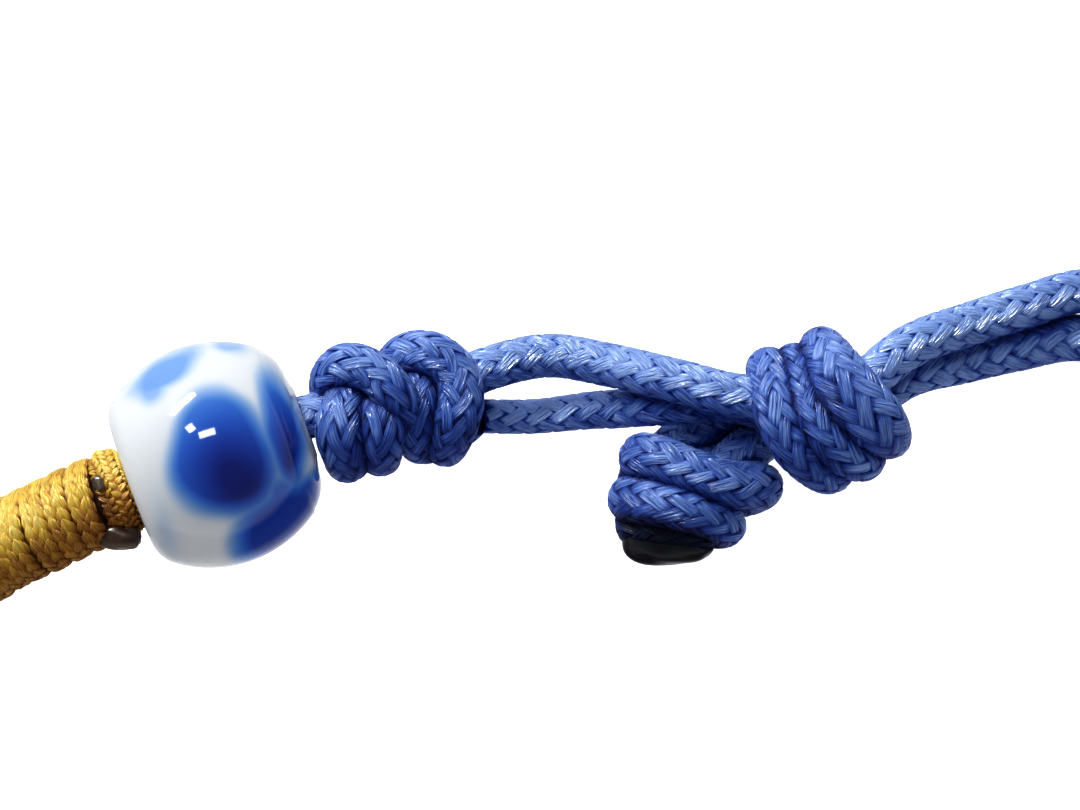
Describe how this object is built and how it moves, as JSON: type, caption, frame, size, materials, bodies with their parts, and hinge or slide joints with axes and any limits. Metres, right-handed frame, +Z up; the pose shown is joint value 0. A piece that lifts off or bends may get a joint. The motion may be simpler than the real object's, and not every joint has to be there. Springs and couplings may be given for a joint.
{
  "type": "adjustable cord bracelet with a porcelain bead",
  "caption": "Waxed cord bracelet laid flat as a loop: glazed porcelain bead, wound gold band, stopper knots, and a sliding knot that draws the strands together.",
  "frame": {"origin": "middle of the loop in plan, on the surface that it lies on", "axes": "+Z up from that surface; +X along the loop's length, from the bead's side to the far knots' side; +Y towards the side with the bead and the knots"},
  "size_m": [0.0728, 0.0522, 0.01],
  "materials": {
    "glaze": "glazed white porcelain with soft cobalt blue patches",
    "gold_thread": "shiny braided gold thread",
    "blue_cord": "waxed round braid with a soft gloss",
    "melted_cord": "cord end melted to a dark glossy drop",
    "scorched_thread": "thread ends melted and scorched dark brown"
  },
  "bodies": {
    "root": {"porcelain_bead": "glaze", "gold_winding": "gold_thread", "bead_cord": "blue_cord", "closing_cord": "blue_cord", "bead_knot": "blue_cord", "strand_knot": "blue_cord", "slider_knot": "blue_cord", "tail_knot": "blue_cord", "melted_end": "melted_cord", "far_knot_inner": "blue_cord", "far_knot_outer": "blue_cord", "thread_end_small": "scorched_thread", "thread_end_large": "scorched_thread"}
  },
  "joints": []
}
